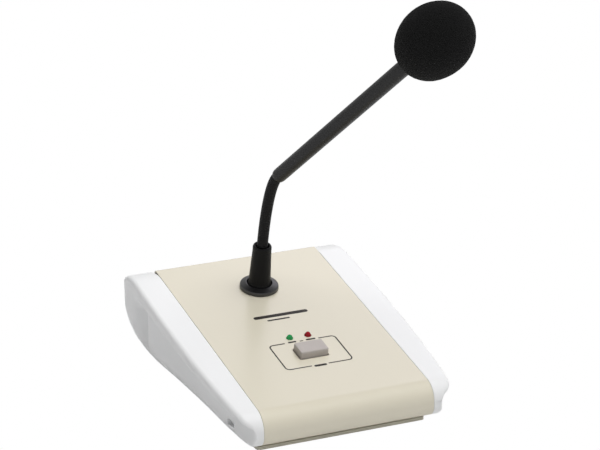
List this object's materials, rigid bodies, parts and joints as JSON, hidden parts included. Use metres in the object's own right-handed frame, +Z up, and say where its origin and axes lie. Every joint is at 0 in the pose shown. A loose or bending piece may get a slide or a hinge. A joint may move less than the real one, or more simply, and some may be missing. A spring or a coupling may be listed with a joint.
{
  "type": "desktop gooseneck paging microphone",
  "caption": "Wedge-shaped desk base with a push-to-talk key and indicator lamps, carrying a gooseneck microphone with a foam windscreen.",
  "frame": {"origin": "on the desk, at the middle of the front foot strip's underside", "axes": "+Z up, -Y towards the person speaking, +X to the right of a person facing the front"},
  "size_m": [0.1504, 0.2069, 0.2602],
  "materials": {
    "cover_paint": "cream satin paint on sheet steel",
    "plate_paint": "cream satin paint on sheet steel",
    "cap_plastic": "white moulded plastic, semi-gloss",
    "foot_rubber": "black rubber",
    "screw_steel": "plated steel",
    "ballast_steel": "bare dark metal",
    "board_laminate": "green circuit laminate",
    "pillar_brass": "turned brass",
    "key_plastic": "grey-beige moulded plastic",
    "stem_plastic": "natural white plastic",
    "switch_plastic": "black moulded plastic",
    "lens_green": "tinted clear epoxy, unlit",
    "lens_red": "tinted clear epoxy, unlit",
    "bezel_plastic": "black moulded plastic",
    "neck_black": "black satin paint",
    "flex_black": "black matte coating on ribbed metal hose",
    "tube_black": "black satin paint",
    "housing_black": "black moulded plastic",
    "ring_rubber": "black soft rubber",
    "capsule_metal": "plain metal can",
    "foam_black": "black open-cell foam",
    "gland_black": "black moulded plastic"
  },
  "bodies": {
    "base": {"cover_panel": "cover_paint", "bottom_plate": "plate_paint", "left_end_cap": "cap_plastic", "right_end_cap": "cap_plastic", "front_foot_strip": "foot_rubber", "rear_foot_strip": "foot_rubber", "plate_screw_1": "screw_steel", "plate_screw_2": "screw_steel", "plate_screw_3": "screw_steel", "plate_screw_4": "screw_steel", "ballast_weight": "ballast_steel", "circuit_board": "board_laminate", "board_pillar_1": "pillar_brass", "board_pillar_2": "pillar_brass", "board_pillar_3": "pillar_brass", "board_pillar_4": "pillar_brass", "switch_housing": "switch_plastic", "led_green": "lens_green", "led_red": "lens_red", "led_bezel_green": "bezel_plastic", "led_bezel_red": "bezel_plastic", "led_spacer_green": "stem_plastic", "led_spacer_red": "stem_plastic", "mic_flange": "neck_black", "mic_sleeve": "neck_black", "mount_nut": "screw_steel", "mount_washer": "screw_steel", "flex_root": "flex_black", "cord_inlet": "gland_black", "inlet_nut": "gland_black"},
    "key": {"talk_key": "key_plastic", "switch_stem": "stem_plastic", "key_spring": "screw_steel"},
    "neck_1": {"flex_link_1": "flex_black"},
    "neck_2": {"flex_link_2": "flex_black"},
    "neck_3": {"flex_link_3": "flex_black"},
    "neck_4": {"flex_link_4": "flex_black"},
    "neck_5": {"flex_link_5": "flex_black"},
    "head": {"flex_tip": "flex_black", "tube_ferrule": "tube_black", "mic_tube": "tube_black", "capsule_housing": "housing_black", "capsule_ring": "ring_rubber", "mic_capsule": "capsule_metal", "foam_windscreen": "foam_black"}
  },
  "joints": [
    {"name": "talk_key_press", "type": "slide", "parent": "base", "child": "key", "axis": [0, 0.1857, -0.9826], "range_m": [0, 0.002], "stiffness_N_per_m": 400, "springref_m": -0.002, "deforming": ["key_spring"]},
    {"name": "neck_tilt_1", "type": "hinge", "parent": "base", "child": "neck_1", "pos_m": [0.00001, 0.10214, 0.08528], "axis": [1, 0.0013, -0.0064], "range_deg": [-9, 9]},
    {"name": "neck_sway_2", "type": "hinge", "parent": "neck_1", "child": "neck_2", "pos_m": [0.00014, 0.10028, 0.09401], "axis": [0, 0.9756, 0.2194], "range_deg": [-9, 9]},
    {"name": "neck_tilt_3", "type": "hinge", "parent": "neck_2", "child": "neck_3", "pos_m": [0.00039, 0.0982, 0.10277], "axis": [0.9993, 0.0089, -0.0356], "range_deg": [-9, 9]},
    {"name": "neck_sway_4", "type": "hinge", "parent": "neck_3", "child": "neck_4", "pos_m": [0.0008, 0.09591, 0.1113], "axis": [0, 0.961, 0.2766], "range_deg": [-9, 9]},
    {"name": "neck_tilt_5", "type": "hinge", "parent": "neck_4", "child": "neck_5", "pos_m": [0.00146, 0.09321, 0.11984], "axis": [0.9956, 0.0311, -0.088], "range_deg": [-9, 9]},
    {"name": "neck_sway_6", "type": "hinge", "parent": "neck_5", "child": "head", "pos_m": [0.00224, 0.0903, 0.12851], "axis": [0, 0.7092, 0.705], "range_deg": [-9, 9]}
  ],
  "couplings": [
    {"joint": "neck_tilt_3", "follows": "neck_tilt_1", "ratio": 1},
    {"joint": "neck_sway_4", "follows": "neck_sway_2", "ratio": 1},
    {"joint": "neck_tilt_5", "follows": "neck_tilt_1", "ratio": 1},
    {"joint": "neck_sway_6", "follows": "neck_sway_2", "ratio": 1}
  ]
}
